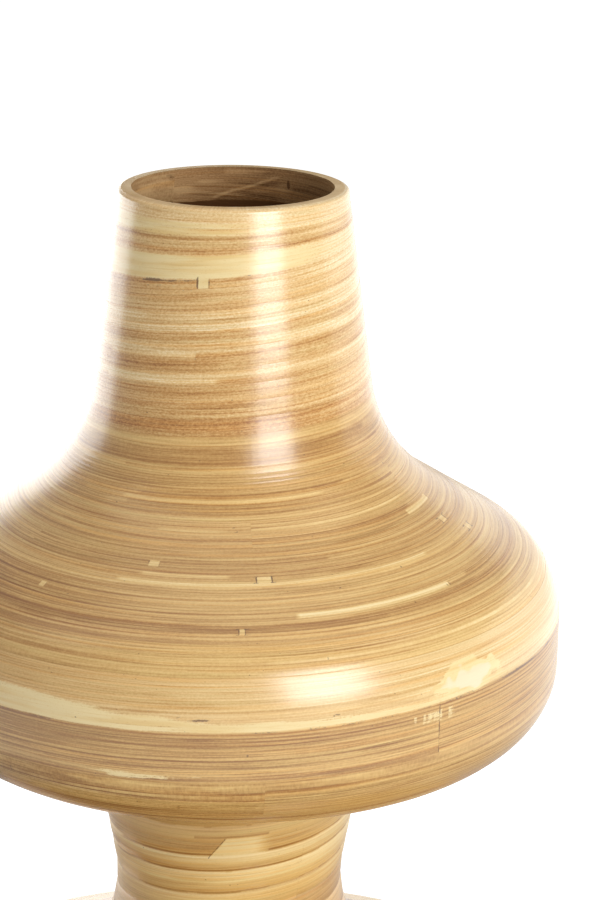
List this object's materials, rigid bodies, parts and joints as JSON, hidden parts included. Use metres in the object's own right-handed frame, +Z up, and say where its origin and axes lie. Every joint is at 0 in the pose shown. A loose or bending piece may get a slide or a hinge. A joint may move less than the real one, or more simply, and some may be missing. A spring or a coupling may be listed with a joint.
{
  "type": "bamboo floor vase",
  "caption": "Tall vase of coiled bamboo strip with a tapered neck, a round upper body, a narrow waist and a wider flat-bottomed lower body, for dry stems.",
  "frame": {"origin": "centre of the floor's flat underside", "axes": "+Z up along the vase's axis, -Y towards the side shown in the picture"},
  "size_m": [0.4561, 0.4561, 0.5553],
  "materials": {
    "wide_strip": "clear gloss lacquer",
    "edge_strip": "clear gloss lacquer",
    "belly_strip": "clear gloss lacquer",
    "floor_strip": "clear satin lacquer"
  },
  "bodies": {
    "root": {"base_hub": "floor_strip", "base_strip_01": "floor_strip", "base_strip_02": "floor_strip", "base_strip_03": "floor_strip", "base_strip_04": "floor_strip", "base_strip_05": "floor_strip", "base_strip_06": "floor_strip", "belly_strip_01": "belly_strip", "belly_strip_02": "belly_strip", "foot_strip_01": "floor_strip", "foot_strip_02": "floor_strip", "foot_strip_03": "floor_strip", "lower_belly_strip_01": "belly_strip", "lower_belly_strip_02": "belly_strip", "lower_belly_strip_03": "belly_strip", "lower_belly_strip_04": "belly_strip", "lower_belly_strip_05": "belly_strip", "lower_shoulder_strip_01": "edge_strip", "lower_shoulder_strip_02": "edge_strip", "lower_shoulder_strip_03": "edge_strip", "lower_shoulder_strip_04": "edge_strip", "lower_shoulder_strip_05": "edge_strip", "lower_shoulder_strip_06": "edge_strip", "lower_shoulder_strip_07": "edge_strip", "lower_shoulder_strip_08": "edge_strip", "neck_strip_01": "wide_strip", "neck_strip_02": "wide_strip", "neck_strip_03": "wide_strip", "neck_strip_04": "wide_strip", "neck_strip_05": "wide_strip", "neck_strip_06": "wide_strip", "neck_strip_07": "wide_strip", "neck_strip_08": "wide_strip", "neck_strip_09": "wide_strip", "neck_strip_10": "wide_strip", "neck_strip_11": "wide_strip", "neck_strip_12": "wide_strip", "shoulder_strip_01": "edge_strip", "shoulder_strip_02": "edge_strip", "shoulder_strip_03": "edge_strip", "shoulder_strip_04": "edge_strip", "shoulder_strip_05": "edge_strip", "shoulder_strip_06": "edge_strip", "shoulder_strip_07": "edge_strip", "under_strip_01": "edge_strip", "under_strip_02": "edge_strip", "under_strip_03": "edge_strip", "under_strip_04": "edge_strip", "under_strip_05": "edge_strip", "waist_strip_01": "wide_strip", "waist_strip_02": "wide_strip", "waist_strip_03": "wide_strip", "waist_strip_04": "wide_strip", "waist_strip_05": "wide_strip", "waist_strip_06": "wide_strip", "waist_strip_07": "wide_strip", "waist_strip_08": "wide_strip", "waist_strip_09": "wide_strip"}
  },
  "joints": []
}
